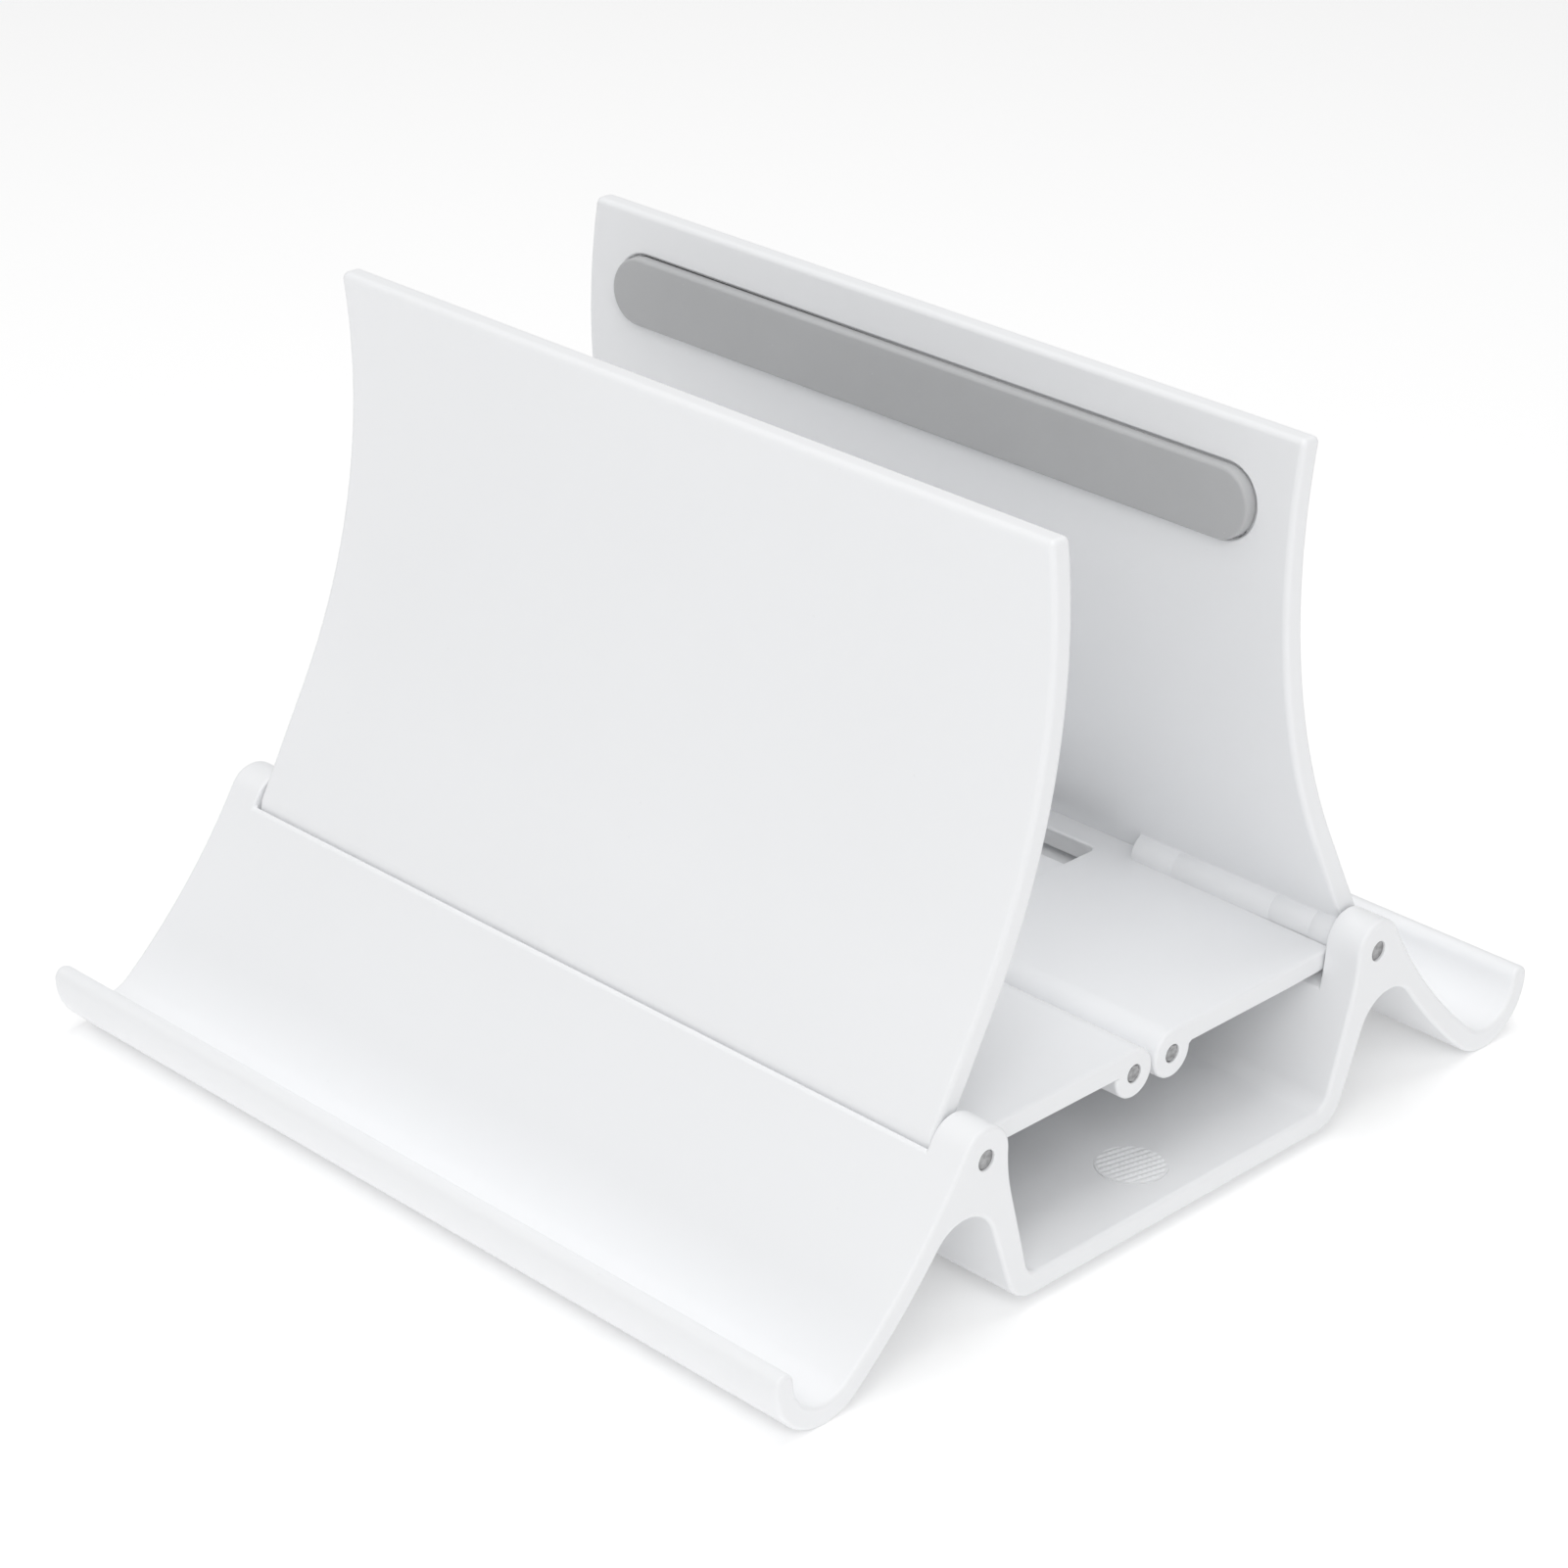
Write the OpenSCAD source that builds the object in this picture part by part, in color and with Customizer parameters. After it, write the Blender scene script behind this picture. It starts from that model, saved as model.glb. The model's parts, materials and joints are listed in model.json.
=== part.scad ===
// Gravity-locking laptop stand with a wide slot between two hinged wings and an open
// tray along each side. A laptop set down in the slot presses the platforms and the
// bridge plate between the wings down, and both wings tip inwards and hold it.
// +X runs across the slots, +Y along the length and +Z up. The origin is on the table
// under the middle of the stand. Outlines are drawn for the +X side in (x, z).

/* [Base] */
// Length of the base from end to end
length = 170; // [160:1:190]
// Wall thickness of the floor, the flanks and the trays
wall = 3.8; // [3.4:0.1:4]
// Height of the trough's underside above the table, which the feet make up
floor_gap = 2.2; // [1.5:0.1:2.5]
// Thickness of the solid ears that carry the hinge pins, along the length
ear = 7; // [6:0.5:9]
// Radius of the rounded top of an ear
ear_r = 5.2; // [5.1:0.05:5.3]
// Inside radius of the curled outer tray
tray_r = 6.7; // [6.2:0.1:7.2]
// Distance of the tray's centre line from the middle of the stand
tray_x = 80.4; // [80:0.1:82]
// Radius of the long hollow curve of the flank between ear and tray
flank_r = 110; // [90:5:140]
// Radius of the arch under the hump that joins trough and flank
arch_r = 7.1; // [6.6:0.1:7.4]
// Distance of the arch's centre line from the middle of the stand
arch_x = 51.4; // [51.2:0.1:51.8]
// Lean of the trough wall's inner face from upright, in degrees
trough_lean = 16; // [14:0.5:17]
// Lean of the trough wall's outer face from upright, in degrees
arch_lean = 20; // [18:0.5:21]

/* [Hinges] */
// Distance of a hinge pin from the middle of the stand
pin_x = 47.2; // [46.8:0.1:47.6]
// Height of the hinge pins above the table
pin_z = 31; // [30:0.5:32]
// Radius of a hinge pin
pin_r = 1.75; // [1.5:0.05:2]
// How far a hinge pin reaches in from the end of the base
pin_reach = 47; // [30:1:60]
// Radial play of a hinge pin in its wing
pin_play = 0.05; // [0.02:0.01:0.08]
// How far a wing closes, in degrees
closing = 16.5; // [10:0.5:16.5]

/* [Wings] */
// Thickness of the wing panel
panel = 4; // [3.6:0.1:4.2]
// Radius of the outer face of the curved panel
panel_r = 111.2; // [105:0.2:120]
// Lean of the straight foot of the panel from upright, in degrees
foot_lean = 27.7; // [26:0.1:29]
// Distance out from the hinge pin to the panel's centre of curvature
bow_x = 93.1; // [92:0.1:94]
// Height of the panel's centre of curvature above the hinge pin
bow_z = 72.3; // [71:0.1:73]
// Height of the panel's top edge above the hinge pin
panel_top = 91.7; // [88:0.1:95]
// Radius along the panel's top edges
edge_r = 1.2; // [0.8:0.1:1.8]
// Gap between a wing's end and the ear
end_gap = 0.3; // [0.3:0.1:0.6]
// Thickness of the platform plate
plate = 3.5; // [3:0.1:3.7]
// Depth of the platform's top below the hinge pin
plate_drop = 1; // [0.8:0.1:1.2]
// Radius of the hinge core at the foot of the wing
core_r = 4.5; // [4.4:0.05:4.55]
// Radius of the barrel round each hinge pin, in the corner above the platform
barrel_r = 3.1; // [2.8:0.05:3.3]
// Radius of the knuckle along the platform's inner edge
knuckle_r = 4.25; // [4:0.05:4.25]
// Distance of a knuckle pin from the middle of the stand when open
knuckle_x = 4.6; // [4.6:0.05:4.8]
// Radius of a knuckle pin
knuckle_pin_r = 1.6; // [1.4:0.05:1.8]

/* [Bridge plate] */
// Width of the notch in each platform, along the length
notch = 56; // [40:1:70]
// Distance of the notch's outer end from the middle of the stand
notch_x = 43.4; // [42:0.1:43.4]
// Half the span of the bridge plate across the stand
bridge_x = 36; // [30:0.5:38]
// Thickness of the bridge plate
bridge_t = 2.4; // [2:0.1:2.6]
// Depth of the bridge plate's top below the platforms
bridge_drop = 0.6; // [0.3:0.1:1]
// Length of each pair of slotted lugs under the bridge plate
lug = 12; // [8:1:16]
// Play round a knuckle pin in its slot
slot_play = 0.35; // [0.3:0.05:0.4]

/* [Springs] */
// Distance of a return spring from the middle of the stand
spring_x = 22; // [18:0.5:26]
// Radius of the spring at its wire's centre
spring_r = 4.7; // [4.2:0.1:5.5]
// Radius of the spring wire
wire_r = 0.35; // [0.3:0.05:0.5]
// Turns in a return spring
turns = 8; // [6:1:10]
// Radius of the posts that centre a spring
post_r = 3.2; // [2.5:0.1:3.6]
// Height of the posts
post_h = 4; // [3:0.5:4.5]

/* [Pads and feet] */
// Length of a grip pad's recess
pad_l = 141; // [120:1:146]
// Height of a grip pad's recess
pad_h = 12.6; // [10:0.1:14]
// Height of the pad's middle above the hinge pin
pad_z = 78.5; // [76:0.1:80]
// Depth of the recess in the wing
pad_sink = 0.8; // [0.6:0.1:1.2]
// How far a pad stands out of its wing
pad_proud = 1.8; // [1:0.1:1.8]
// Gap between a pad and the rim of its recess
pad_gap = 0.4; // [0.3:0.1:0.6]
// Thickness of the adhesive sheet behind a pad
tape_t = 0.2; // [0.15:0.05:0.3]
// Radius of a foot
foot_r = 6; // [5:0.5:8]
// Depth of a foot's recess in the underside
foot_sink = 0.8; // [0.5:0.1:1]
// Distance of a foot from the middle, across the stand
foot_x = 26; // [20:1:28]
// Distance of a foot from the middle, along the stand
foot_y = 70; // [50:1:74]
// Radius of the ribbed thumb disc in the trough floor
disc_r = 6; // [5:0.1:8]
// Distance of the disc's middle from the end of the base
disc_in = 10.5; // [9:0.5:16]
// Depth of the disc
disc_sink = 0.4; // [0.3:0.1:0.6]
// Spacing of the disc's ribs
rib_pitch = 1.2; // [1:0.1:1.6]
// Turn of the ribs from square across the stand, in degrees
rib_turn = -14; // [-30:1:30]

/* [Hidden] */
$fn = 48;

shell_white = [0.93, 0.94, 0.95];
silicone_grey = [0.62, 0.63, 0.65];
steel_grey = [0.6, 0.61, 0.62];
tape_grey = [0.85, 0.86, 0.84];
rubber_grey = [0.35, 0.36, 0.37];

pin = [pin_x, pin_z];
slack = 0.5;                                // how far a cutter runs past the solid it cuts
half = length / 2;
inner_half = half - ear;                    // half length between the ears
wing_half = inner_half - end_gap;

// Base outline: the arcs meet tangentially, so their centres follow from the radii.
floor_top = floor_gap + wall;
tray = [tray_x, tray_r + wall];
crown = [pin_x + 0.1, pin_z + 0.2];
flank = meet(crown, tray, flank_r + ear_r, flank_r - tray_r);
tray_turn = heading(tray - flank);
crown_turn = heading(crown - flank);
arch_reach = flank_r + wall + arch_r;
arch = [arch_x, flank[1] - sqrt(pow(arch_reach, 2) - pow(flank[0] - arch_x, 2))];
arch_foot = arch + arch_r * [-cos(arch_lean), sin(arch_lean)];
wall_bend = 30;                             // radius that brings the trough wall upright
bend = [crown[0] - ear_r - wall_bend, crown[1]];
bend_foot = bend + wall_bend * [cos(trough_lean), -sin(trough_lean)];
inner_corner = 3;
outer_corner = 6;

// Seat of the hinge core between the ears, and the room the platform sweeps.
seat_r = core_r + 0.35;
lip_top = 0.9;                              // top of the flank's lip above the hinge pin
sweep_lean = closing + 3;

// Wing outline.
bow = pin + [bow_x, bow_z];
face_r = panel_r + panel;                   // radius of the panel's inner face
plate_top = pin_z - plate_drop;
plate_low = plate_top - plate;
knuckle = [knuckle_x, plate_top - knuckle_r];
knuckle_turn = asin((plate_low - knuckle[1]) / knuckle_r);
foot_line = 180 + foot_lean;
foot_edge = 2.6;                            // where the sloping foot turns down to the core
core_turn = 12;
barrel_end = pin_reach + 3;                 // the barrel closes the blind pin bore
bore_end = pin_reach + 0.5;
notch_corner = 1.5;

// Bridge plate and the travel of the knuckle pins in its slots.
bridge_top = plate_top - bridge_drop;
bridge_low = bridge_top - bridge_t;
bridge_half = notch / 2 - 0.3;
arm = norm(pin - knuckle);
arm_turn = asin((pin_z - knuckle[1]) / arm);
slot_run = arm * (cos(arm_turn) - cos(arm_turn + closing));
slot_r = knuckle_pin_r + slot_play;
lug_rim = 1.4;

pad_r = face_r - pad_sink;                  // radius of the recess floor behind a pad
disc_ribs = 4;                              // ribs each side of the middle one

// Points of an arc about c, from angle a to angle b.
function arc(c, r, a, b, n = 24) =
    [for (i = [0:n]) c + r * [cos(a + (b - a) * i / n), sin(a + (b - a) * i / n)]];

// Direction of a vector, in degrees.
function heading(v) = atan2(v[1], v[0]);

// Where circles of radii p and q about a and b cross, on the left going from a to b.
function meet(a, b, p, q) =
    let (d = norm(b - a), u = (b - a) / d, k = (p * p - q * q + d * d) / (2 * d))
    a + k * u + sqrt(p * p - k * k) * [-u[1], u[0]];

// Rounded corner of radius r from a level line at height z to a line through point p
// that leans outwards as it rises.
function corner(p, lean, z, r) =
    arc([p[0] - (p[1] - z - r) * tan(lean) - r / cos(lean), z + r], r, -90, -lean, 8);

function flipped(points) = [for (i = [len(points) - 1:-1:0]) [-points[i][0], points[i][1]]];

function base_half() = concat(
    corner(bend_foot, trough_lean, floor_top, inner_corner),
    arc(bend, wall_bend, -trough_lean, 0, 6),
    arc(crown, ear_r, 180, heading(flank - crown)),
    arc(flank, flank_r, crown_turn, tray_turn),
    arc(tray, tray_r, tray_turn, 0),
    arc(tray + [tray_r + wall / 2, 0], wall / 2, 180, 0, 12),
    arc(tray, tray_r + wall, 0, tray_turn),
    arc(flank, flank_r + wall, tray_turn, heading(arch - flank)),
    arc(arch, arch_r, heading(flank - arch), 180 - arch_lean),
    [for (p = flipped(corner(arch_foot, arch_lean, floor_gap, outer_corner))) [-p[0], p[1]]]
);

// Centre of the small round along the panel's top edge, on a circle of radius r.
function edge_at(r) =
    let (z = pin_z + panel_top - edge_r)
    [bow[0] - sqrt(r * r - pow(z - bow[1], 2)), z];

// Point at height z on the straight foot of the panel face of radius r.
function foot_at_height(r, z) =
    let (p = bow + r * [cos(foot_line), sin(foot_line)])
    [p[0] + (p[1] - z) * tan(foot_lean), z];

function wing_outline() =
    let (inner = edge_at(face_r - edge_r), outer = edge_at(panel_r + edge_r))
    let (inner_turn = heading(inner - bow), outer_turn = heading(outer - bow))
    concat(
        arc(knuckle, knuckle_r, knuckle_turn, -270, 40),
        [foot_at_height(face_r, plate_top)],
        arc(bow, face_r, foot_line, inner_turn, 32),
        arc(inner, edge_r, inner_turn, 90, 8),
        arc(outer, edge_r, 90, outer_turn - 180, 8),
        arc(bow, panel_r, outer_turn, foot_line, 32),
        [foot_at_height(panel_r, pin_z + foot_edge)],
        arc(pin, core_r, core_turn, -90)
    );

// Extrudes an (x, z) outline along the length, centred on the middle.
module along(l) rotate([90, 0, 0]) linear_extrude(height = l, center = true) children();

// Rod of radius r from y0 to y1 at an (x, z) place.
module rod(at, r, y0, y1) translate([at[0], y1, at[1]]) rotate([90, 0, 0]) cylinder(h = y1 - y0, r = r);

module both_sides() {
    children();
    mirror([1, 0, 0]) children();
}

module both_ends() {
    children();
    mirror([0, 1, 0]) children();
}

// Room for one wing between the ears: the core's round seat, the open top above the
// flank's lip, and the wedge that the platform sweeps.
module wing_room() {
    reach = 9;
    tangent = pin + seat_r * [sin(sweep_lean), -cos(sweep_lean)];
    along(2 * inner_half) polygon([
        pin + [reach, lip_top],
        pin + [reach, 2 * reach],
        pin + [-reach, 2 * reach],
        tangent - reach * [cos(sweep_lean), sin(sweep_lean)],
        tangent,
        pin,
        pin + [0, lip_top]
    ]);
    rod(pin, seat_r, -inner_half, inner_half);
}

// Shallow round recess with a row of fine ribs standing in it.
module thumb_disc() {
    translate([0, disc_in - half, floor_top - disc_sink]) rotate([0, 0, rib_turn]) difference() {
        cylinder(h = disc_sink + slack, r = disc_r);
        for (i = [-disc_ribs:disc_ribs])
            translate([-disc_r, i * rib_pitch - rib_pitch / 4, -slack])
                cube([2 * disc_r, rib_pitch / 2, slack + disc_sink * 0.75]);
    }
}

module base() {
    right = base_half();
    color(shell_white) {
        difference() {
            along(length) polygon(concat(right, flipped(right)));
            both_sides() {
                wing_room();
                rod(pin, pin_r, -half - slack, half + slack);
                both_ends()
                    translate([foot_x, foot_y, floor_gap - slack])
                        cylinder(h = foot_sink + slack, r = foot_r + 0.1);
            }
            thumb_disc();
        }
        both_sides() translate([spring_x, 0, floor_top - slack]) cylinder(h = post_h + slack, r = post_r);
    }
}

// Stadium of length l and height h, cut out of a shell about the panel's centre of
// curvature between radii r0 and r1.
module pad_shape(l, h, r0, r1) {
    intersection() {
        rod(bow, r1, -half, half);
        translate([0, 0, pin_z + pad_z]) rotate([90, 0, 90]) linear_extrude(height = pin_x) {
            square([l - h, h], center = true);
            translate([(l - h) / 2, 0]) circle(r = h / 2);
            translate([(h - l) / 2, 0]) circle(r = h / 2);
        }
        difference() {
            translate([0, -half, 0]) cube([pin_x, length, pin_z + panel_top]);
            rod(bow, r0, -length, length);
        }
    }
}

// Opening that the bridge plate works in, with its outer corners rounded.
module notch_cut() {
    depth = notch_x - notch_corner;
    translate([0, 0, plate_low - knuckle_r * 2]) linear_extrude(height = 4 * knuckle_r) {
        translate([-knuckle_r, -notch / 2]) square([depth + knuckle_r, notch]);
        translate([depth - slack, notch_corner - notch / 2])
            square([notch_corner + slack, notch - 2 * notch_corner]);
        for (side = [-1, 1]) translate([depth, side * (notch / 2 - notch_corner)]) circle(r = notch_corner);
    }
}

// The +X wing: panel, hinge core, platform and knuckle in one moulding.
module wing() {
    difference() {
        union() {
            along(2 * wing_half) polygon(wing_outline());
            both_ends() rod(pin, barrel_r, half - barrel_end, wing_half);
        }
        notch_cut();
        both_ends() rod(pin, pin_r + pin_play, half - bore_end, half);
        rod(knuckle, knuckle_pin_r, -half, half);
        pad_shape(pad_l, pad_h, pad_r, face_r + slack);
    }
}

module right_wing() color(shell_white) wing();
module left_wing() color(shell_white) mirror([1, 0, 0]) wing();

// Slot that lets a knuckle pin slide outwards as the wings close.
module pin_slot() {
    along(length) {
        translate([knuckle[0], knuckle[1] - slot_r]) square([slot_run, 2 * slot_r]);
        for (x = [0, slot_run]) translate([knuckle[0] + x, knuckle[1]]) circle(r = slot_r);
    }
}

module bridge_plate() {
    lug_w = slot_run + 2 * (slot_r + lug_rim);
    lug_low = knuckle[1] - slot_r - lug_rim;
    color(shell_white) difference() {
        union() {
            translate([-bridge_x, -bridge_half, bridge_low]) cube([2 * bridge_x, 2 * bridge_half, bridge_t]);
            both_sides() {
                both_ends() translate([knuckle[0] - slot_r - lug_rim, bridge_half - lug, lug_low])
                    cube([lug_w, lug, bridge_low + slack - lug_low]);
                translate([spring_x, 0, bridge_low - post_h]) cylinder(h = post_h + slack, r = post_r);
            }
        }
        both_sides() pin_slot();
    }
}

module hinge_pin() color(steel_grey) rod(pin, pin_r, half - pin_reach, half - 0.4);
module rear_right_hinge_pin() hinge_pin();
module rear_left_hinge_pin() mirror([1, 0, 0]) hinge_pin();
module front_right_hinge_pin() mirror([0, 1, 0]) hinge_pin();
module front_left_hinge_pin() mirror([1, 0, 0]) mirror([0, 1, 0]) hinge_pin();

module knuckle_pin() color(steel_grey) rod(knuckle, knuckle_pin_r, 0.2 - wing_half, wing_half - 0.2);
module right_knuckle_pin() knuckle_pin();
module left_knuckle_pin() mirror([1, 0, 0]) knuckle_pin();

module grip_pad() color(silicone_grey)
    pad_shape(pad_l - 2 * pad_gap, pad_h - 2 * pad_gap, pad_r + tape_t, face_r + pad_proud);
module right_grip_pad() grip_pad();
module left_grip_pad() mirror([1, 0, 0]) grip_pad();

module pad_tape() color(tape_grey)
    pad_shape(pad_l - 4 * pad_gap, pad_h - 4 * pad_gap, pad_r, pad_r + tape_t);
module right_pad_tape() pad_tape();
module left_pad_tape() mirror([1, 0, 0]) pad_tape();

// Coil of round wire between the trough floor and the bridge plate.
module return_spring() {
    sides = 6;
    steps = 20 * turns;
    low = floor_top + wire_r;
    rise = bridge_low - wire_r - low;
    rings = [for (i = [0:steps]) let (a = 360 * turns * i / steps, z = low + rise * i / steps)
        for (k = [0:sides - 1]) let (r = spring_r + wire_r * cos(360 * k / sides))
            [r * cos(a), r * sin(a), z + wire_r * sin(360 * k / sides)]];
    skin = [for (i = [0:steps - 1], k = [0:sides - 1]) let (n = (k + 1) % sides)
        [i * sides + k, i * sides + n, (i + 1) * sides + n, (i + 1) * sides + k]];
    ends = [
        [for (k = [sides - 1:-1:0]) k],
        [for (k = [0:sides - 1]) steps * sides + k]
    ];
    color(steel_grey) translate([spring_x, 0, 0]) polyhedron(points = rings, faces = concat(skin, ends));
}
module right_return_spring() return_spring();
module left_return_spring() mirror([1, 0, 0]) return_spring();

module foot() color(rubber_grey)
    translate([foot_x, foot_y, 0]) cylinder(h = floor_gap + foot_sink, r = foot_r);
module rear_right_foot() foot();
module rear_left_foot() mirror([1, 0, 0]) foot();
module front_right_foot() mirror([0, 1, 0]) foot();
module front_left_foot() mirror([1, 0, 0]) mirror([0, 1, 0]) foot();

base();
left_wing();
right_wing();
bridge_plate();
front_left_hinge_pin();
front_right_hinge_pin();
rear_left_hinge_pin();
rear_right_hinge_pin();
left_knuckle_pin();
right_knuckle_pin();
left_grip_pad();
right_grip_pad();
left_pad_tape();
right_pad_tape();
left_return_spring();
right_return_spring();
front_left_foot();
front_right_foot();
rear_left_foot();
rear_right_foot();
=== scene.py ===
"""Looks of a laptop stand whose two curved wings tip inwards and grip what is set between them.

The mouldings get their rounded edges and satin plastic here. The pads, pins, springs, feet
and the small grip disc are built from profiles. Everything is in metres in the model's own
frame: +X across the slots, +Y along the length, +Z up, the table top at zero.
"""

import json
import math

import bmesh
import bpy
from bpy.props import FloatProperty, FloatVectorProperty, IntProperty, PointerProperty
from mathutils import Matrix, Vector

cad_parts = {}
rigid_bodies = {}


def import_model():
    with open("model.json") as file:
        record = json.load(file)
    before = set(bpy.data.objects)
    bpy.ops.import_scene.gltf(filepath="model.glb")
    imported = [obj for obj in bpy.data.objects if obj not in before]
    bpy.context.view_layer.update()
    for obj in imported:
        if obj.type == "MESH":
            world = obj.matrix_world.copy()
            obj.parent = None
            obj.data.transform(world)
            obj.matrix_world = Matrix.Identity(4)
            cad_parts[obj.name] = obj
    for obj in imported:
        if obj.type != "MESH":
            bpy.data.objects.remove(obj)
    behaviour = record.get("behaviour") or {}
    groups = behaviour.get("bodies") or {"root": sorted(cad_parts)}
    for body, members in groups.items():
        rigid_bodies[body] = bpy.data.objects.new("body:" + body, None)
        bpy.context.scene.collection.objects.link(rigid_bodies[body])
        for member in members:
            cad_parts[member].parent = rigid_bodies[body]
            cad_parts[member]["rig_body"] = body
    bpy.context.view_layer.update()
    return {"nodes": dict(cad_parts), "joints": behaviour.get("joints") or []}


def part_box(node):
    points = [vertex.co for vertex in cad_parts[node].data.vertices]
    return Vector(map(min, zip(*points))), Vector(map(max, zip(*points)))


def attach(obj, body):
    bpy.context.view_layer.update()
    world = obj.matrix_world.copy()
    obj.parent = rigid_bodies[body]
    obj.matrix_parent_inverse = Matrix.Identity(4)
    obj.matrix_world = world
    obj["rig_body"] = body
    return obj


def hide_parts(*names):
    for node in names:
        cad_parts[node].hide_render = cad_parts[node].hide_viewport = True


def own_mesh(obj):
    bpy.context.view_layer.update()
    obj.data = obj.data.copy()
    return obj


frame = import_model()

bl_info = {
    "name": "Laptop stand",
    "version": (1, 0, 0),
    "blender": (4, 5, 0),
    "location": "View3D > Sidebar > Stand",
    "description": "Builds the finish and the fine parts of a laptop stand round its frame",
    "category": "Object",
}

MM = 0.001

JOINTS = {joint["name"]: joint for joint in frame["joints"]}
WING_PIN = Vector(JOINTS["right_wing_hinge"]["pos_m"])
BOXES = {node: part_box(node) for node in frame["nodes"]}
BASE_LOW, BASE_HIGH = BOXES["base"]
SIDES = {"left": -1, "right": 1}
ENDS = {"front": -1, "rear": 1}


# Sizes and colours that a user would change

class StandEdges(bpy.types.PropertyGroup):
    """Rounded edges of the white mouldings."""

    base_end: FloatProperty(
        name="Base ends", description="Radius along the outline of the base's two ends",
        default=0.65 * MM, unit="LENGTH")
    wing_end: FloatProperty(
        name="Wing ends", description="Radius along the outline of a wing's two ends",
        default=0.9 * MM, unit="LENGTH")
    platform: FloatProperty(
        name="Platform ends", description="Radius along the top edge of a platform's ends",
        default=0.5 * MM, unit="LENGTH")
    inner: FloatProperty(
        name="Inner edges", description="Radius of the edges between a moulding's faces",
        default=0.4 * MM, unit="LENGTH")
    bore: FloatProperty(
        name="Bore rims", description="Radius of the rims of the pin bores",
        default=0.15 * MM, unit="LENGTH")
    bridge: FloatProperty(
        name="Bridge plate", description="Radius of the bridge plate's edges",
        default=0.35 * MM, unit="LENGTH")
    steps: IntProperty(
        name="Steps", description="Facets across a rounded edge", default=4, min=2, max=8)


class StandPads(bpy.types.PropertyGroup):
    """Grip pads on the wings' inner faces."""

    bow_out: FloatProperty(
        name="Bow out", description="Distance out from the hinge pin to the panel's centre of curvature",
        default=93.1 * MM, unit="LENGTH")
    bow_up: FloatProperty(
        name="Bow up", description="Height of the panel's centre of curvature above the hinge pin",
        default=72.3 * MM, unit="LENGTH")
    face: FloatProperty(
        name="Panel face", description="Radius of the panel's inner face",
        default=115.2 * MM, unit="LENGTH")
    seat: FloatProperty(
        name="Seat", description="Depth of the pad's back below the panel's face",
        default=0.6 * MM, unit="LENGTH")
    proud: FloatProperty(
        name="Proud", description="Height of the pad's rim above the panel's face",
        default=1.75 * MM, unit="LENGTH")
    rim: FloatProperty(
        name="Rim", description="Radius along the pad's rim", default=0.6 * MM, unit="LENGTH")
    crown: FloatProperty(
        name="Crown", description="Rise of the pad's middle above its rim",
        default=0.06 * MM, unit="LENGTH")


class StandDetails(bpy.types.PropertyGroup):
    """Pins, sleeves, springs, feet and the grip disc."""

    pin_chamfer: FloatProperty(
        name="Pin chamfer", description="Chamfer at the ends of the pins", default=0.25 * MM, unit="LENGTH")
    splines: IntProperty(
        name="Splines", description="Splines rolled into the ends of a knuckle pin", default=8)
    spline_depth: FloatProperty(
        name="Spline depth", description="Depth of the splines", default=0.22 * MM, unit="LENGTH")
    spline_length: FloatProperty(
        name="Spline length", description="Length of the splines", default=5 * MM, unit="LENGTH")
    barrel: FloatProperty(
        name="Barrel", description="Radius of the barrel round a hinge pin",
        default=3.1 * MM, unit="LENGTH")
    wire: FloatProperty(
        name="Wire", description="Radius of the spring wire", default=0.35 * MM, unit="LENGTH")
    turns: IntProperty(
        name="Turns", description="Turns in a return spring", default=8)
    foot_round: FloatProperty(
        name="Foot rim", description="Radius along a foot's lower rim", default=0.7 * MM, unit="LENGTH")
    disc_radius: FloatProperty(
        name="Disc", description="Radius of the grip disc in the trough floor",
        default=5.95 * MM, unit="LENGTH")
    disc_in: FloatProperty(
        name="Disc place", description="Distance of the disc's middle from the front end of the base",
        default=10.5 * MM, unit="LENGTH")
    rib_pitch: FloatProperty(
        name="Rib pitch", description="Spacing of the disc's ribs", default=1.2 * MM, unit="LENGTH")
    rib_turn: FloatProperty(
        name="Rib turn", description="Turn of the ribs from square across the stand",
        default=math.radians(-14), subtype="ANGLE")
    rib_height: FloatProperty(
        name="Rib height", description="Height of the disc's ribs", default=0.28 * MM, unit="LENGTH")


class StandFinish(bpy.types.PropertyGroup):
    """Colours and roughness of the finishes."""

    shell: FloatVectorProperty(
        name="Shell", description="Satin white of the mouldings", subtype="COLOR",
        default=(0.922, 0.93, 0.943), min=0, max=1)
    shell_roughness: FloatProperty(
        name="Shell roughness", description="Roughness of the satin plastic", default=0.42, min=0, max=1)
    silicone: FloatVectorProperty(
        name="Silicone", description="Grey of the grip pads", subtype="COLOR",
        default=(0.50, 0.505, 0.512), min=0, max=1)
    steel: FloatVectorProperty(
        name="Steel", description="Grey of the pins", subtype="COLOR",
        default=(0.395, 0.395, 0.4), min=0, max=1)
    wire: FloatVectorProperty(
        name="Spring wire", description="Grey of the springs", subtype="COLOR",
        default=(0.56, 0.55, 0.53), min=0, max=1)
    sheet: FloatVectorProperty(
        name="Adhesive", description="Milky adhesive behind the pads", subtype="COLOR",
        default=(0.66, 0.67, 0.64), min=0, max=1)
    rubber: FloatVectorProperty(
        name="Rubber", description="Grey of the feet", subtype="COLOR",
        default=(0.105, 0.108, 0.112), min=0, max=1)


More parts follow.
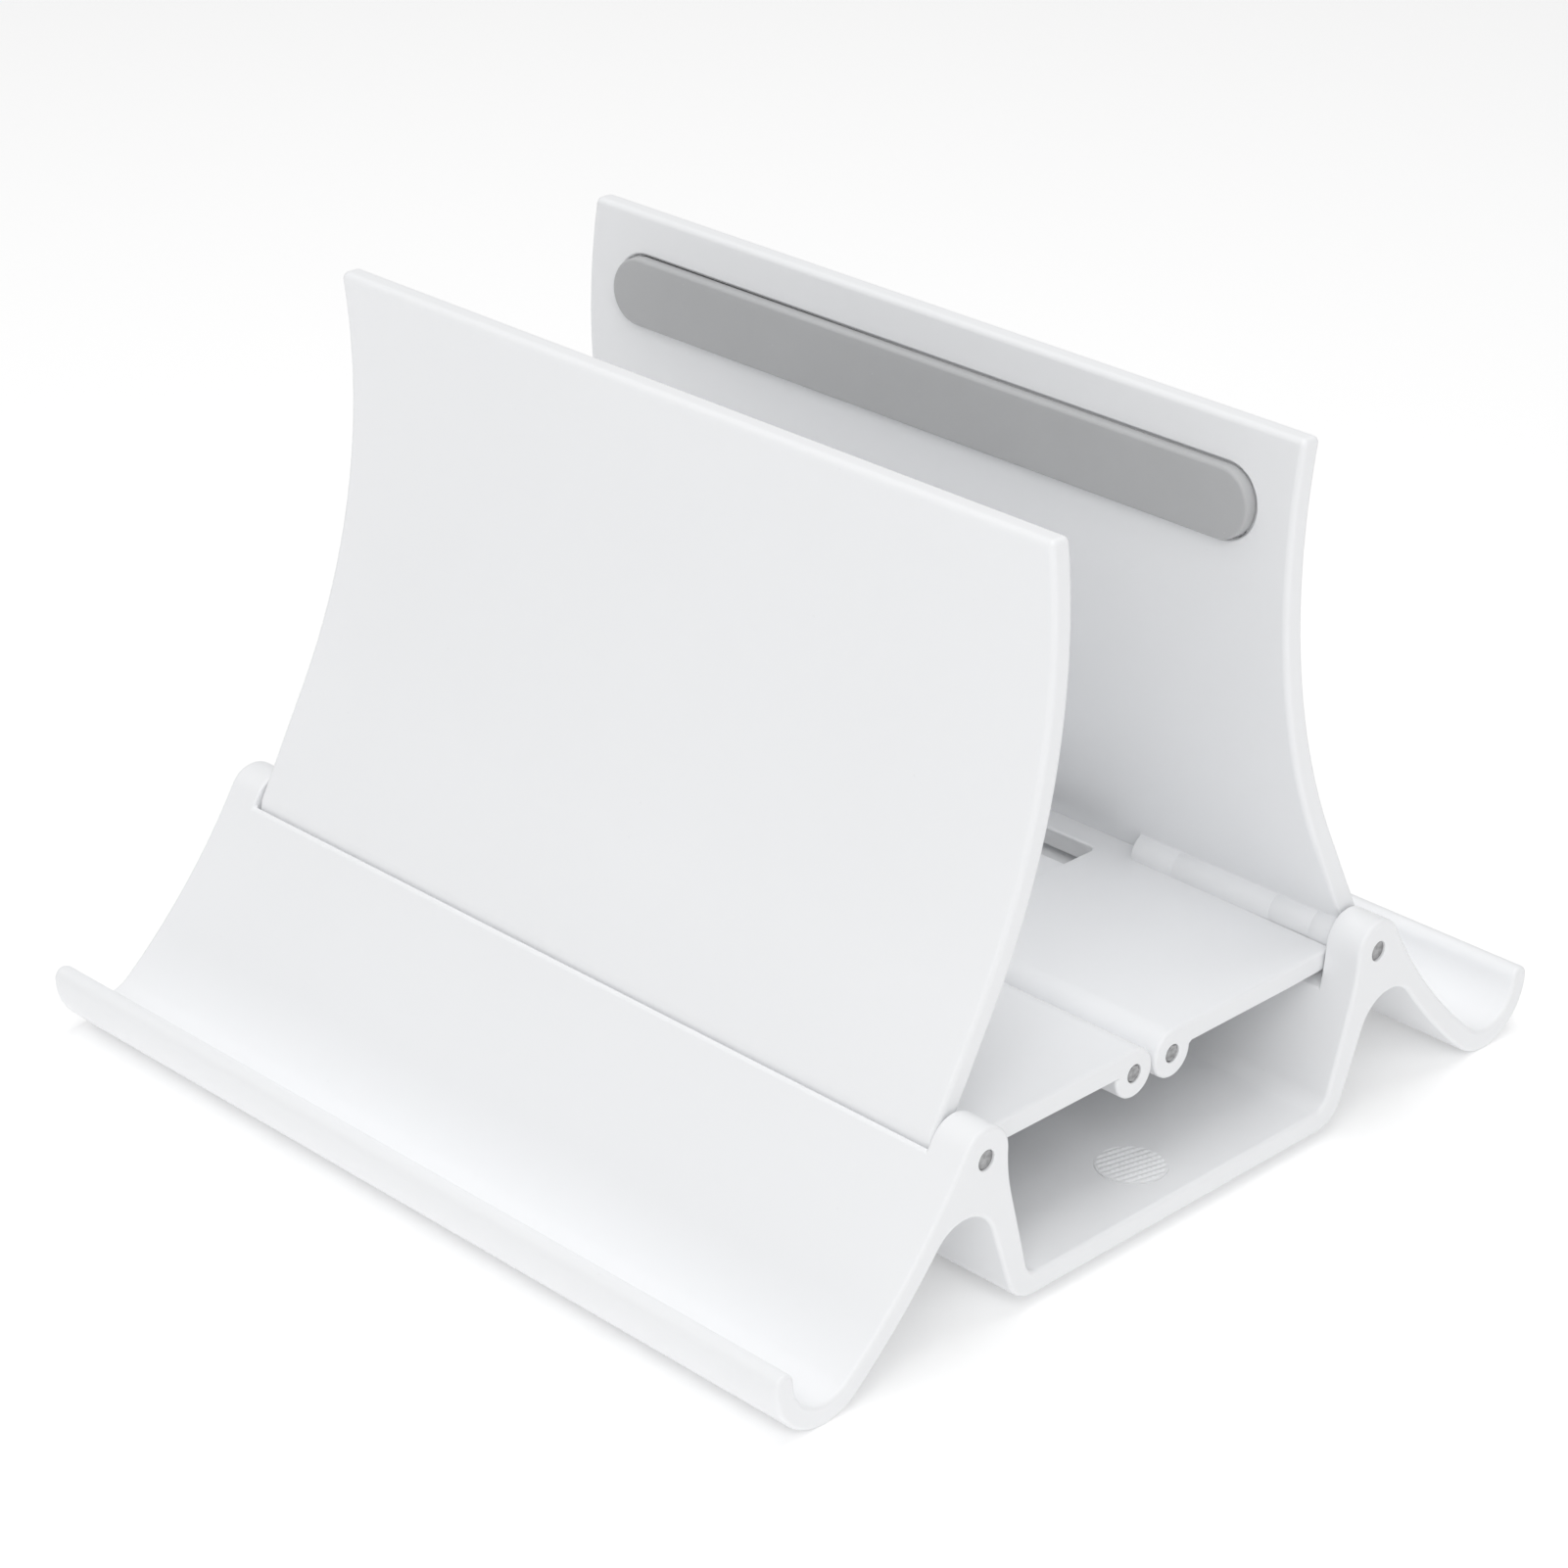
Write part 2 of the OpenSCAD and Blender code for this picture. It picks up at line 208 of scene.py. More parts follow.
class StandStudio(bpy.types.PropertyGroup):
    """Camera, floor and lights."""

    azimuth: FloatProperty(
        name="Azimuth", description="Direction of view, from +Y towards -X",
        default=math.radians(-46.027), subtype="ANGLE")
    elevation: FloatProperty(
        name="Elevation", description="Height of the camera above the aim",
        default=math.radians(26.12), subtype="ANGLE")
    roll: FloatProperty(
        name="Roll", description="Roll of the camera", default=math.radians(1.2265), subtype="ANGLE")
    distance: FloatProperty(
        name="Distance", description="Camera to aim", default=0.66, unit="LENGTH")
    aim: FloatVectorProperty(
        name="Aim", description="Point that the camera looks at", subtype="XYZ",
        default=(-0.0379, -0.03281, 0.07107))
    lens: FloatProperty(
        name="Lens", description="Focal length on a 36 mm sensor, in millimetres", default=99.53)
    floor: FloatVectorProperty(
        name="Floor", description="Colour of the floor", subtype="COLOR",
        default=(0.985, 0.985, 0.985), min=0, max=1)
    floor_size: FloatProperty(
        name="Floor size", description="Side of the floor", default=12, unit="LENGTH")
    glow: FloatProperty(
        name="Floor glow", description="Light that the floor gives off itself", default=0.165)
    sky: FloatProperty(
        name="Room light", description="Strength of the even light all round", default=0.42)
    key: FloatProperty(
        name="Key light", description="Power of the lamp above the camera", default=6.9, unit="POWER")
    right: FloatProperty(
        name="Right light", description="Power of the lamp on the right", default=1.0, unit="POWER")
    top: FloatProperty(
        name="Top light", description="Power of the lamp overhead", default=6.2, unit="POWER")
    rear: FloatProperty(
        name="Rear light", description="Power of the lamp behind on the left", default=1.5, unit="POWER")


# Shader maths

class Signal:
    """A value inside a material, which takes part in ordinary arithmetic."""

    def __init__(self, finish, socket):
        self.finish = finish
        self.socket = socket

    def _math(self, operation, first, second):
        return self.finish.node("ShaderNodeMath", {"operation": operation}, {0: first, 1: second})

    def __add__(self, other):
        return self._math("ADD", self, other)

    def __mul__(self, other):
        return self._math("MULTIPLY", self, other)

    def __lt__(self, other):
        return self._math("LESS_THAN", self, other)

    __radd__ = __add__
    __rmul__ = __mul__


class Finish:
    """A material being mixed, and the principled shader that it feeds."""

    def __init__(self, name, **constants):
        self.material = bpy.data.materials.new(name)
        self.material.use_nodes = True
        self.tree = self.material.node_tree
        self.shader = self.tree.nodes["Principled BSDF"]
        for socket, value in constants.items():
            self.shader.inputs[socket.replace("_", " ")].default_value = value
        self.place = self.node("ShaderNodeTexCoord", output="Object")

    def node(self, kind, settings=None, sockets=None, output=0):
        """Adds a node: its settings first, then the values or links of its sockets."""
        made = self.tree.nodes.new(kind)
        for name, value in (settings or {}).items():
            setattr(made, name, value)
        for name, value in (sockets or {}).items():
            self.feed(made.inputs[name], value)
        return Signal(self, made.outputs[output])

    def feed(self, socket, value):
        if isinstance(value, Signal):
            self.tree.links.new(value.socket, socket)
        else:
            socket.default_value = value

    def noise(self, scale, detail=2.0, place=None):
        """Soft noise from 0 to 1, with scale lumps to the metre."""
        sockets = {"Vector": place or self.place, "Scale": scale, "Detail": detail}
        return self.node("ShaderNodeTexNoise", sockets=sockets)

    def specks(self, scale, size):
        """1 inside small round specks, scale to the metre and size times their spacing wide."""
        sockets = {"Vector": self.place, "Scale": scale}
        return self.node("ShaderNodeTexVoronoi", sockets=sockets, output="Distance") < size

    def blend(self, share, first, second):
        """Colour between first and second."""
        return self.node("ShaderNodeMix", {"data_type": "RGBA"}, {0: share, 6: first, 7: second}, 2)

    def stretched(self, factors):
        """The object's own coordinates, multiplied axis by axis."""
        return self.node("ShaderNodeVectorMath", {"operation": "MULTIPLY"}, {0: self.place, 1: factors})

    def bump(self, height, depth):
        """Fine relief, depth metres from its lows to its highs."""
        sockets = {"Strength": 1.0, "Distance": depth, "Height": height}
        return self.node("ShaderNodeBump", sockets=sockets)

    def done(self, colour, roughness, normal):
        self.feed(self.shader.inputs["Base Color"], colour)
        self.feed(self.shader.inputs["Roughness"], roughness)
        self.feed(self.shader.inputs["Normal"], normal)
        return self.material


def tinted(colour, share):
    """Colour with its brightness multiplied by share, as RGBA."""
    return (*[channel * share for channel in colour], 1.0)


def satin_plastic():
    """White moulded plastic: an even satin skin with a fine spark-eroded grain."""
    look = bpy.context.scene.stand_finish
    skin = Finish("satin_white_plastic", IOR=1.49)
    flow = skin.noise(14, 3)
    grain = skin.noise(3200, 3)
    orange_peel = skin.noise(420, 1)
    dust = skin.specks(130, 0.02)
    shade = skin.blend(flow, tinted(look.shell, 0.985), tinted(look.shell, 1.012))
    colour = skin.blend(dust * 0.12, shade, tinted(look.shell, 0.55))
    roughness = flow * 0.05 + grain * 0.10 + (look.shell_roughness - 0.075)
    relief = grain * 0.6 + orange_peel * 0.4
    return skin.done(colour, roughness, skin.bump(relief, 0.012 * MM))


def matte_silicone():
    """Grey silicone of the grip pads: matte, faintly mottled, with a little caught lint."""
    look = bpy.context.scene.stand_finish
    skin = Finish("matte_grey_silicone", IOR=1.41)
    mottle = skin.noise(60, 4)
    grain = skin.noise(2400, 4)
    lint = skin.specks(260, 0.035)
    shade = skin.blend(mottle, tinted(look.silicone, 0.95), tinted(look.silicone, 1.04))
    colour = skin.blend(lint * 0.25, shade, tinted(look.silicone, 1.5))
    roughness = mottle * 0.06 + grain * 0.14 + 0.44
    return skin.done(colour, roughness, skin.bump(grain, 0.03 * MM))


def turned_steel():
    """Pin steel: rings left by the lathe on the ends, and a dull oxide mottle."""
    look = bpy.context.scene.stand_finish
    skin = Finish("turned_steel", Metallic=0.9)
    across = skin.stretched((1.0, 0.0, 1.0))
    radius = skin.node("ShaderNodeVectorMath", {"operation": "LENGTH"}, {0: across}, "Value")
    rings = skin.node("ShaderNodeMath", {"operation": "SINE"}, {0: radius * 42000})
    mottle = skin.noise(1500, 3)
    oxide = skin.noise(1300, 3)
    colour = skin.blend(oxide, tinted(look.steel, 0.35), tinted(look.steel, 1.6))
    roughness = mottle * 0.22 + 0.30
    return skin.done(colour, roughness, skin.bump(rings * 0.35 + mottle, 0.02 * MM))


def drawn_wire():
    """Spring wire: bright steel with fine lines."""
    look = bpy.context.scene.stand_finish
    skin = Finish("drawn_spring_wire", Metallic=1.0)
    lines = skin.noise(900, 3, skin.stretched((1.0, 1.0, 6.0)))
    bloom = skin.noise(240, 2)
    colour = skin.blend(bloom, tinted(look.wire, 0.85), tinted(look.wire, 1.1))
    return skin.done(colour, lines * 0.2 + 0.2, skin.bump(lines, 0.008 * MM))


def adhesive_film():
    """Double-sided adhesive: milky film with short fibres in it."""
    look = bpy.context.scene.stand_finish
    skin = Finish("milky_adhesive_film", IOR=1.47)
    fibres = skin.noise(900, 3, skin.stretched((1.0, 0.15, 1.0)))
    cloud = skin.noise(70, 3)
    colour = skin.blend(fibres, tinted(look.sheet, 0.88), tinted(look.sheet, 1.1))
    return skin.done(colour, cloud * 0.15 + 0.3, skin.bump(fibres, 0.01 * MM))


def foot_rubber():
    """Dark grey rubber of the feet, with a dry bloom on it."""
    look = bpy.context.scene.stand_finish
    skin = Finish("grey_foot_rubber", IOR=1.5)
    bloom = skin.noise(180, 4)
    grain = skin.noise(2600, 3)
    colour = skin.blend(bloom, tinted(look.rubber, 0.82), tinted(look.rubber, 1.35))
    return skin.done(colour, bloom * 0.12 + 0.62, skin.bump(grain, 0.03 * MM))


def floor_paint():
    """Pale floor that glows: its emission is painted light, which lights the stand from below and softens
    its shadows.
    """
    look = bpy.context.scene.stand_studio
    # Emission makes the floor glow as a painted light from below, though it is no lamp.
    skin = Finish("pale_glowing_floor", IOR=1.3, Emission_Strength=look.glow, Emission_Color=(1, 1, 1, 1))
    cloud = skin.noise(2, 2)
    colour = skin.blend(cloud, tinted(look.floor, 0.995), tinted(look.floor, 1.005))
    return skin.done(colour, cloud * 0.02 + 0.8, skin.bump(cloud, 0.01 * MM))


MAKERS = {
    "white_shell": satin_plastic,
    "grey_silicone": matte_silicone,
    "steel_pin": turned_steel,
    "spring_wire": drawn_wire,
    "adhesive_sheet": adhesive_film,
    "foot_rubber": foot_rubber,
}
FINISHES = {}


def material_of(slot):
    """The finish of a material slot, made the first time that it is asked for."""
    if slot not in FINISHES:
        FINISHES[slot] = MAKERS[slot]()
    return FINISHES[slot]


# Mesh building

def add_piece(name, mesh, body, slot, stands_for=()):
    """Puts a mesh in the scene as one piece that rides on a body."""
    piece = bpy.data.objects.new(name, mesh)
    bpy.context.scene.collection.objects.link(piece)
    mesh.materials.clear()
    mesh.materials.append(material_of(slot))
    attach(piece, body)
    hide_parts(*stands_for)
    return piece


def to_mesh(bm, name, crease=math.radians(40)):
    """Ends a bmesh as a smooth mesh whose edges sharper than crease stay sharp."""
    bmesh.ops.recalc_face_normals(bm, faces=bm.faces)
    mesh = bpy.data.meshes.new(name)
    bm.to_mesh(mesh)
    bm.free()
    mesh.polygons.foreach_set("use_smooth", [True] * len(mesh.polygons))
    mesh.set_sharp_from_angle(angle=crease)
    return mesh


def full_turn(count):
    """Angles of count points evenly round a circle."""
    return [2 * math.pi * i / count for i in range(count)]


def add_rows(bm, rings):
    """Vertices of a row of rings, ring by ring."""
    return [[bm.verts.new(point) for point in ring] for ring in rings]


def join_rows(bm, rows):
    """Faces from each ring of vertices to the next."""
    count = len(rows[0])
    for near, far in zip(rows, rows[1:]):
        for i in range(count):
            j = (i + 1) % count
            bm.faces.new((near[i], near[j], far[j], far[i]))


def loft(rings):
    """Closed skin over a row of rings with equal numbers of points, its two ends filled."""
    bm = bmesh.new()
    rows = add_rows(bm, rings)
    join_rows(bm, rows)
    bm.faces.new(rows[0])
    bm.faces.new(rows[-1])
    return bm


def turned(profile, sides, wave=None):
    """Turned part about its own Y axis, from (radius, y) points; wave(turn, y) scales a radius."""
    def place(radius, y, turn):
        scale = wave(turn, y) if wave else 1
        return Vector((radius * scale * math.cos(turn), y, radius * scale * math.sin(turn)))

    return loft([[place(radius, y, turn) for turn in full_turn(sides)] for radius, y in profile])


def both_tips(tip):
    """Profile of a pin from one tip's (radius, y) points, which are the same at both ends."""
    return [(radius, -y) for radius, y in tip] + tip[::-1]


def quarter(centre, radius, start, steps=5):
    """Points of a quarter circle, from the angle start on, in degrees."""
    angles = [math.radians(start + 90 * i / steps) for i in range(steps + 1)]
    return [(centre[0] + radius * math.cos(a), centre[1] + radius * math.sin(a)) for a in angles]


def middle(node):
    """Middle of a node's box."""
    low, high = BOXES[node]
    return (low + high) / 2


SAME_POINT = 0.001 * MM
SAME_PLANE = math.radians(0.2)


def moulding(node, name, slot, radius_of, widest, steps):
    """A CAD moulding's copy with rounded edges: radius_of(edge, angle) gives each one's radius."""
    source = frame["nodes"][node]
    bm = bmesh.new()
    bm.from_mesh(source.data)
    bmesh.ops.remove_doubles(bm, verts=bm.verts, dist=SAME_POINT)
    bmesh.ops.dissolve_limit(
        bm, angle_limit=SAME_PLANE, verts=bm.verts, edges=bm.edges, delimit=set())
    radii = [radius_of(edge, edge.calc_face_angle(0)) for edge in bm.edges]
    mesh = to_mesh(bm, name)
    weights = mesh.attributes.new("bevel_weight_edge", "FLOAT", "EDGE")
    weights.data.foreach_set("value", [radius / widest for radius in radii])
    piece = add_piece(name, mesh, source["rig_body"], slot, [node])
    bevel = piece.modifiers.new("Rounded edges", "BEVEL")
    bevel.limit_method = "WEIGHT"
    bevel.width = widest
    bevel.segments = steps
    bevel.use_clamp_overlap = False
    weld = piece.modifiers.new("Merged points", "WELD")
    weld.merge_threshold = SAME_POINT
    normals = piece.modifiers.new("Even shading", "WEIGHTED_NORMAL")
    normals.keep_sharp = True
    return piece


def mid_point(edge):
    """Point half way along an edge."""
    return (edge.verts[0].co + edge.verts[1].co) / 2


def near_pin(point, node, room=0.6 * MM):
    """Whether a point lies on the bore of a pin, seen along the length."""
    low, high = BOXES[node]
    centre = (low + high) / 2
    reach = math.hypot(abs(point.x) - abs(centre.x), point.z - centre.z)
    return reach < (high.x - low.x) / 2 + room


# An edge turns by at least SHARP. The lengths say how near something an edge has to be.
SHARP = math.radians(35)
TOUCH = 0.01 * MM
SNUG = 0.2 * MM
FOOT_ROOM = 3 * MM
PANEL_TIP = 6 * MM
KNUCKLE_ROOM = 6 * MM
DISC_SEAT = 8 * MM


def base_radius(edge, angle):
    """Radius of one edge of the base."""
    edges = bpy.context.scene.stand_edges
    point = mid_point(edge)
    at_end = BASE_HIGH.y - abs(point.y) < TOUCH
    in_disc = point.z < BOXES["right_return_spring"][0].z + TOUCH and abs(point.x) < DISC_SEAT
    if angle < SHARP or in_disc and not at_end:
        return 0
    if near_pin(point, "front_right_hinge_pin"):
        return edges.bore if at_end else 0
    return edges.base_end if at_end else edges.inner


def wing_radius(edge, angle):
    """Radius of one edge of a wing."""
    edges = bpy.context.scene.stand_edges
    point = mid_point(edge)
    low, high = BOXES["right_wing"]
    at_end = high.y - abs(point.y) < TOUCH
    if angle < SHARP:
        return 0
    if near_pin(point, "front_right_hinge_pin", SNUG):
        return 0
    if near_pin(point, "right_knuckle_pin", SNUG):
        return edges.bore if at_end else 0
    if not at_end:
        return edges.wing_end if point.z > high.z - PANEL_TIP else edges.inner
    if point.z > WING_PIN.z + FOOT_ROOM:
        return edges.wing_end
    flat = abs(edge.verts[0].co.z - edge.verts[1].co.z) < TOUCH
    underside = flat and point.z < WING_PIN.z - FOOT_ROOM and abs(point.x) > KNUCKLE_ROOM
    return 0 if underside else edges.platform


def bridge_radius(edge, angle):
    """Radius of one edge of the bridge plate."""
    edges = bpy.context.scene.stand_edges
    in_slot = BOXES["bridge_plate"][0].z < mid_point(edge).z < BOXES["right_knuckle_pin"][1].z + MM / 2
    return 0 if angle < SHARP or in_slot else edges.bridge


# Operators

class STAND_OT_base(bpy.types.Operator):
    """Round and paint the base moulding"""
    bl_idname = "stand.base"
    bl_label = "Base"

    def execute(self, context):
        edges = context.scene.stand_edges
        moulding("base", "base_moulding", "white_shell", base_radius, edges.base_end, edges.steps)
        return {"FINISHED"}


class STAND_OT_grip_disc(bpy.types.Operator):
    """Lay the ribbed grip disc in the trough floor"""
    bl_idname = "stand.grip_disc"
    bl_label = "Grip disc"

    def execute(self, context):
        sizes = context.scene.stand_details
        floor_top = BOXES["right_return_spring"][0].z
        centre = Vector((0, BASE_LOW.y + sizes.disc_in, floor_top))
        back = -0.08 * MM
        rim = 0.35 * MM
        rim_height = 0.05 * MM
        bead_pitch = 0.9 * MM
        rings = 52
        spokes = 168

        def height(radius, turn):
            """Ribs across the disc, notched into beads, inside a thin raised rim."""
            if radius > sizes.disc_radius - rim:
                return rim_height
            along = radius * math.cos(turn - sizes.rib_turn)
            across = radius * math.sin(turn - sizes.rib_turn)
            rib = 0.5 + 0.5 * math.cos(2 * math.pi * across / sizes.rib_pitch)
            bead = 0.8 + 0.2 * math.cos(2 * math.pi * along / bead_pitch)
            return sizes.rib_height * (rib ** 0.7 * bead - 0.35)

        def ring(radius, level):
            return [
                centre + Vector((radius * math.cos(turn), radius * math.sin(turn), level(turn)))
                for turn in full_turn(spokes)]

        under = ring(sizes.disc_radius, lambda turn: back)
        radii = [sizes.disc_radius * (1 - i / rings) for i in range(rings)]
        tops = [ring(radius, lambda turn, radius=radius: height(radius, turn)) for radius in radii]
        mesh = to_mesh(loft([under, *tops]), "grip_disc", math.radians(80))
        add_piece("grip_disc", mesh, "base_body", "white_shell")
        return {"FINISHED"}


class STAND_OT_wings(bpy.types.Operator):
    """Round and paint the two wings"""
    bl_idname = "stand.wings"
    bl_label = "Wings"

    def execute(self, context):
        edges = context.scene.stand_edges
        for side in SIDES:
            node = f"{side}_wing"
            moulding(node, f"{node}_moulding", "white_shell", wing_radius, edges.wing_end, edges.steps)
        return {"FINISHED"}


class STAND_OT_barrel_sleeves(bpy.types.Operator):
    """Add the stepped skin of the barrels round the hinge pins"""
    bl_idname = "stand.barrel_sleeves"
    bl_label = "Barrel sleeves"

    barrel_in = 50 * MM
    skin = 0.5 * MM
    sides = 48

    def execute(self, context):
        barrel = context.scene.stand_details.barrel
        wing_end = BOXES["right_wing"][1].y
        inner_end = BASE_HIGH.y - self.barrel_in
        # Start, stop and rise above the barrel of each sleeve, from the wing's end inwards
        steps = [
            (wing_end - 4.6 * MM, wing_end - 0.3 * MM, 0.16 * MM),
            (wing_end - 13 * MM, wing_end - 4.8 * MM, 0.04 * MM),
            (inner_end + 9 * MM, wing_end - 13.2 * MM, 0.08 * MM),
            (inner_end + 0.3 * MM, inner_end + 8.8 * MM, 0.04 * MM),
        ]
        for side, sign in SIDES.items():
            sleeves = bmesh.new()
            for end in ENDS.values():
                for start, stop, rise in steps:
                    self.add_sleeve(sleeves, sign, end, start, stop, barrel, rise)
            mesh = to_mesh(sleeves, f"{side}_barrel_sleeves")
            add_piece(f"{side}_barrel_sleeves", mesh, f"{side}_wing_body", "white_shell")
        return {"FINISHED"}

    def add_sleeve(self, sleeves, sign, end, start, stop, barrel, rise):
        """One sleeve: a tube whose outer rims are rounded by its own rise."""
        core = barrel - self.skin
        outer = barrel + rise
        profile = [(core, start), (outer - rise, start), (outer - 0.3 * rise, start + 0.3 * rise)]
        profile += [(outer, start + rise), (outer, stop - rise)]
        profile += [(outer - 0.3 * rise, stop - 0.3 * rise), (outer - rise, stop), (core, stop)]

        def ring(radius, y):
            return [
                (sign * WING_PIN.x + radius * math.cos(turn), end * y, WING_PIN.z + radius * math.sin(turn))
                for turn in full_turn(self.sides)]

        rows = add_rows(sleeves, [ring(*step) for step in profile])
        join_rows(sleeves, rows + rows[:1])


class STAND_OT_bridge_plate(bpy.types.Operator):
    """Round and paint the bridge plate"""
    bl_idname = "stand.bridge_plate"
    bl_label = "Bridge plate"

    def execute(self, context):
        edges = context.scene.stand_edges
        moulding("bridge_plate", "bridge_plate_moulding", "white_shell",
                 bridge_radius, edges.bridge, edges.steps)
        return {"FINISHED"}


class STAND_OT_grip_pads(bpy.types.Operator):
    """Build the two silicone grip pads, bowed to the wings and rounded at the rim"""
    bl_idname = "stand.grip_pads"
    bl_label = "Grip pads"

    straight_steps = 28
    arc_steps = 14
    rim_steps = 6
    back_edge = 0.2 * MM

    def execute(self, context):
        sizes = context.scene.stand_pads
        for side, sign in SIDES.items():
            node = f"{side}_grip_pad"
            mesh = to_mesh(self.pad(node, sign, sizes), f"{side}_silicone_pad")
            piece = add_piece(
                f"{side}_silicone_pad", mesh, f"{side}_wing_body", "grey_silicone", [node])
        return {"FINISHED"}

    def outline(self, half_length, half_height, inset):
        """Stadium drawn in by inset, as (along, up) points from its +Y tip over the top."""
        radius = half_height - inset
        centre = half_length - half_height
        tip = [math.pi / 2 * i / self.arc_steps for i in range(self.arc_steps + 1)]
        upper = [(centre + radius * math.cos(a), radius * math.sin(a)) for a in tip]
        upper += [
            (centre - 2 * centre * i / self.straight_steps, radius)
            for i in range(1, self.straight_steps)]
        upper += [(-along, up) for along, up in reversed(upper[:self.arc_steps + 1])]
        lower = [(along, -up) for along, up in reversed(upper[1:-1])]
        return upper + lower

    def pad(self, node, sign, sizes):
        """The pad's skin: a flat back, upright sides, a rounded rim and a crowned face."""
        low, high = BOXES[node]
        centre = (low + high) / 2
        half_length = (high.y - low.y) / 2
        half_height = (high.z - low.z) / 2
        bow = Vector((sign * (WING_PIN.x + sizes.bow_out), 0, WING_PIN.z + sizes.bow_up))
        back = sizes.face - sizes.seat
        front = sizes.face + sizes.proud
        rim = sizes.rim

        def ring(inset, radius):
            points = []
            for along, up in self.outline(half_length, half_height, inset):
                z = centre.z + up
                x = bow.x - sign * math.sqrt(radius ** 2 - (z - bow.z) ** 2)
                points.append(Vector((x, centre.y + along, z)))
            return points

        profile = [(self.back_edge, back), (0, back + self.back_edge)]
        bend = [math.pi / 2 * i / self.rim_steps for i in range(self.rim_steps + 1)]
        profile += [(rim - rim * math.cos(a), front - rim + rim * math.sin(a)) for a in bend]
        for share in (0.25, 0.5, 0.75, 0.97):
            inset = rim + (half_height - rim) * share
            profile.append((inset, front + sizes.crown * math.sin(share * math.pi / 2)))
        bm = bmesh.new()
        rows = add_rows(bm, [ring(*step) for step in profile])
        join_rows(bm, rows)
        for row in (rows[0], rows[-1]):
            self.close(bm, row)
        return bm

    def close(self, bm, row):
        """Fills a ring that is the same above and below its middle with a strip of faces."""
        count = len(row)
        half = count // 2
        bm.faces.new((row[0], row[1], row[-1]))
        for i in range(1, half - 1):
            bm.faces.new((row[i], row[i + 1], row[count - i - 1], row[count - i]))
        bm.faces.new((row[half - 1], row[half], row[half + 1]))


class STAND_OT_pad_tapes(bpy.types.Operator):
    """Paint the adhesive sheets behind the pads"""
    bl_idname = "stand.pad_tapes"
    bl_label = "Pad tapes"

    def execute(self, context):
        for side in SIDES:
            tape = frame["nodes"][f"{side}_pad_tape"]
            for place in tape.material_slots:
                place.material = material_of("adhesive_sheet")
        return {"FINISHED"}


class STAND_OT_hinge_pins(bpy.types.Operator):
    """Turn the four hinge pins"""
    bl_idname = "stand.hinge_pins"
    bl_label = "Hinge pins"

    centre_mark = 0.3 * MM
    sides = 40

    def execute(self, context):
        chamfer = context.scene.stand_details.pin_chamfer
        for end in ENDS:
            for side in SIDES:
                node = f"{end}_{side}_hinge_pin"
                low, high = BOXES[node]
                radius = (high.x - low.x) / 2
                half = (high.y - low.y) / 2
                tip = [(self.centre_mark, half), (radius - chamfer, half)]
                tip += [(radius - chamfer / 4, half - chamfer / 3), (radius, half - chamfer)]
                mesh = to_mesh(turned(both_tips(tip), self.sides), node)
                piece = add_piece(f"{end}_{side}_pin_steel", mesh, "base_body", "steel_pin", [node])
                piece.location = middle(node)
        return {"FINISHED"}


class STAND_OT_knuckle_pins(bpy.types.Operator):
    """Turn the two knuckle pins, with splines at their ends"""
    bl_idname = "stand.knuckle_pins"
    bl_label = "Knuckle pins"

    dimple = 0.12 * MM
    sides = 96

    def execute(self, context):
        sizes = context.scene.stand_details
        chamfer = sizes.pin_chamfer
        for side in SIDES:
            node = f"{side}_knuckle_pin"
            low, high = BOXES[node]
            radius = (high.x - low.x) / 2
            half = (high.y - low.y) / 2
            splined = half - sizes.spline_length

            def wave(turn, y):
                """Splines fade out where they end."""
                share = min(1, max(0, (abs(y) - splined) / MM))
                dip = 0.5 - 0.5 * math.cos(turn * sizes.splines)
                return 1 - share * dip ** 2 * sizes.spline_depth / radius

            tip = [(0.35 * radius, half - self.dimple), (0.55 * radius, half)]
            tip += [(radius - chamfer, half), (radius, half - chamfer), (radius, splined + MM)]
            tip.append((radius, splined))
            mesh = to_mesh(turned(both_tips(tip), self.sides, wave), node, math.radians(30))
            piece = add_piece(f"{side}_splined_pin", mesh, f"{side}_wing_body", "steel_pin", [node])
            piece.location = middle(node)
        return {"FINISHED"}


class STAND_OT_return_springs(bpy.types.Operator):
    """Wind the two return springs, with closed ends"""
    bl_idname = "stand.return_springs"
    bl_label = "Return springs"

    steps_a_turn = 30
    wire_sides = 10

    def execute(self, context):
        sizes = context.scene.stand_details
        for side in SIDES:
            node = f"{side}_return_spring"
            low, high = BOXES[node]
            mesh = to_mesh(self.coil(low, high, sizes.wire, sizes.turns), f"{side}_coil")
            piece = add_piece(f"{side}_coil_spring", mesh, "base_body", "spring_wire", [node])
            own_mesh(piece)
        return {"FINISHED"}

    def coil(self, low, high, wire, turns):
        """Helix of round wire whose first and last turns lie flat against the next."""
        centre = (low + high) / 2
        winding = (high.x - low.x) / 2 - wire
        steps = self.steps_a_turn * turns
        sides = self.wire_sides
        shut = 2 * wire
        bottom = low.z + wire
        free = (high.z - low.z - 2 * wire - 2 * shut) / (turns - 2)

        def lift(turn):
            if turn < 1:
                return bottom + shut * turn
            if turn > turns - 1:
                return high.z - wire - shut * (turns - turn)
            return bottom + shut + free * (turn - 1)

        rings = []
        upward = Vector((0, 0, 1))
        for i in range(steps + 1):
            turn = turns * i / steps
            out = Vector((math.cos(2 * math.pi * turn), math.sin(2 * math.pi * turn), 0))
            spine = Vector((centre.x, centre.y, lift(turn))) + winding * out
            rings.append([
                spine + wire * (math.cos(angle) * out + math.sin(angle) * upward)
                for angle in full_turn(sides)])
        return loft(rings)


